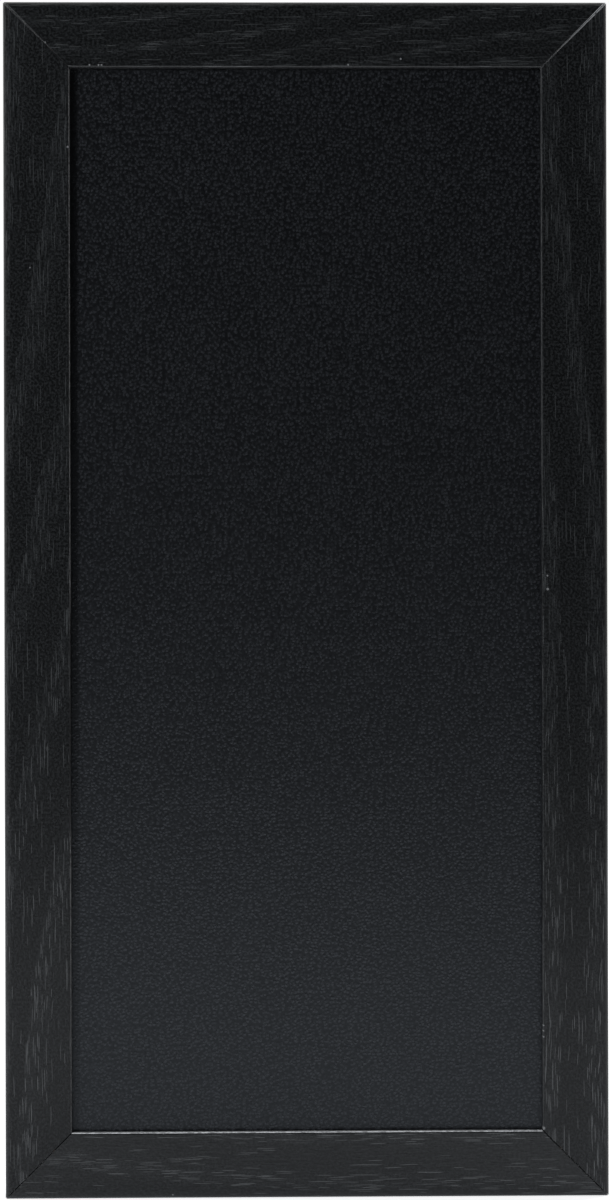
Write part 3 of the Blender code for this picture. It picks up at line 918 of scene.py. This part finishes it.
rubber = Finish("moulded_rubber", Specular_IOR_Level=0.4)
nodes = rubber.nodes
place = rubber.place()
speckle = nodes.noise(place, 1 / 0.25, 3, 0.6)
dust = nodes.noise(place, 1 / 2.5, 4, 0.65).between(0.45, 0.75)
rubber.feed("Base Color", nodes.mix(dust * 0.6 + speckle * 0.2, RUBBER, RUBBER_DUSTY))
rubber.feed("Roughness", dust * 0.2 + speckle * 0.1 + 0.55)
rubber.bump(speckle, depth_mm=0.03)

bumper_low, bumper_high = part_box("bumper_upper_left")
bumper_height = bumper_high.y - bumper_low.y
rim_centre = (BUMPER_TOP_RADIUS - BUMPER_RIM, bumper_height - BUMPER_RIM)
bumper_profile = [Vector((0, bumper_height))]
bumper_profile += arc(rim_centre, BUMPER_RIM, 90, BUMPER_DRAFT, BUMPER_RIM_STEPS)
bumper_profile += [
    Vector((BUMPER_RADIUS, BUMPER_EASED)),
    Vector((BUMPER_RADIUS - BUMPER_EASED, 0)),
    Vector((BUMPER_PAD_RADIUS, 0)),
    Vector((BUMPER_PAD_RADIUS, -BUMPER_PAD)),
    Vector((0, -BUMPER_PAD)),
]
bumpers = new_object("bumpers", turned_mesh("bumpers", bumper_profile, BUMPER_STEPS))
bumper_across = (bumper_low.x + bumper_high.x) / 2 - cad_low.x
bumper_seat = bumper_low.y - front_y
bumper_places = []
for side in ("left_stile", "right_stile"):
    for end in (-1, 1):
        along = end * (board_height / 2 - BUMPER_END_DISTANCE)
        bumper_places.append((side, (bumper_across, bumper_seat, along)))
lay_copies(bumpers, bumper_places, rubber)
bumper_nodes = []
for level in ("upper", "lower"):
    bumper_nodes += [f"bumper_{level}_left", f"bumper_{level}_right"]
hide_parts(*bumper_nodes)


# The stage. The board stands on a pale floor that ends short of the camera. A small strong lamp and
# a weak wide one light its face from the left, and another its back from the right. All round is a
# studio that is white to the camera, pale behind the board and dark before it.
CAMERA_DISTANCE = 994 * MM
CAMERA_LEFT = 17.4 * MM
CAMERA_UP = 0.9 * MM
# The camera's turns, in degrees
CAMERA_YAW = 0.974
CAMERA_PITCH = -0.056
CAMERA_ROLL = -0.131
LENS = 89.28

camera = new_object("camera", bpy.data.cameras.new("camera"))
camera.data.lens = LENS
camera.data.clip_start = 0.01
camera.location = board_middle + Vector((-CAMERA_LEFT, -CAMERA_DISTANCE, CAMERA_UP))
aim = Matrix.Rotation(math.radians(-CAMERA_YAW), 4, "Z")
aim = aim @ Matrix.Rotation(math.radians(90 + CAMERA_PITCH), 4, "X")
aim = aim @ Matrix.Rotation(math.radians(CAMERA_ROLL), 4, "Z")
camera.rotation_euler = aim.to_euler()
bpy.context.scene.camera = camera
bpy.context.scene.view_settings.view_transform = "Standard"

FLOOR_REACH = 6.0
FLOOR_FRONT = -0.88
FLOOR_COLOUR = (0.68, 0.68, 0.68, 1)
GLOW_TO_CAMERA = 0.70
GLOW_IN_GLOSS = 0.225
GLOW_IN_GLOSS_TINT = (0.93, 0.99, 1.09, 1)
floor_mesh = bpy.data.meshes.new("floor")
shape = bmesh.new()
bmesh.ops.create_grid(shape, x_segments=1, y_segments=1, size=FLOOR_REACH)
shape.to_mesh(floor_mesh)
shape.free()
floor_mesh.transform(Matrix.Translation((0, FLOOR_REACH + FLOOR_FRONT, cad_low.z)))
floor = new_object("floor", floor_mesh)
paper = Finish(
    "pale_paper",
    Base_Color=FLOOR_COLOUR,
    Roughness=0.9,
    Specular_IOR_Level=0.1,
    Emission_Strength=1,
)
nodes = paper.nodes
to_camera = nodes.add("ShaderNodeLightPath", output="Is Camera Ray")
glow = to_camera * GLOW_TO_CAMERA + to_camera.other("Is Glossy Ray") * GLOW_IN_GLOSS
tint = nodes.mix(to_camera, GLOW_IN_GLOSS_TINT, (1, 1, 1, 1))
paper.feed("Emission Color", nodes.mix(glow, (0, 0, 0, 1), tint))
paper.material.cycles.emission_sampling = "NONE"
floor_mesh.materials.append(paper.material)

DAYLIGHT = (0.96, 1.0, 1.06)


def soft_light(name, place, size, radiance, mirrored):
    """A square lamp that faces the board, and is mirrored in its gloss or only lights it."""
    lamp = bpy.data.lights.new(name, "AREA")
    lamp.shape = "SQUARE"
    lamp.size = size
    # A Lambertian panel of this radiance gives off pi times its area times its radiance
    lamp.energy = math.pi * size**2 * radiance
    lamp.color = DAYLIGHT
    light = new_object(name, lamp)
    light.location = place
    light.rotation_euler = (board_middle - Vector(place)).to_track_quat("-Z", "Y").to_euler()
    light.visible_glossy = mirrored


soft_light("glint", (-0.92, -1.58, 0.35), size=0.6, radiance=0.6, mirrored=True)
soft_light("key", (-1.14, -1.42, 0.16), size=0.36, radiance=78.0, mirrored=False)
soft_light("rear", (1.3, 1.05, 0.6), size=0.6, radiance=14.0, mirrored=False)

STUDIO_BEHIND = 0.8
world = bpy.data.worlds.new("studio")
world.use_nodes = True
bpy.context.scene.world = world
sky = Nodes(world.node_tree)
seen = sky.add("ShaderNodeLightPath", output="Is Camera Ray")
towards = sky.axes(sky.add("ShaderNodeTexCoord", output="Generated"))
level = seen.math("MAXIMUM", seen, towards[1].between(-1, 1) * STUDIO_BEHIND)
background = world.node_tree.nodes["Background"]
world.node_tree.links.new(level.socket, background.inputs["Strength"])
background.inputs["Color"].default_value = (1, 1, 1, 1)
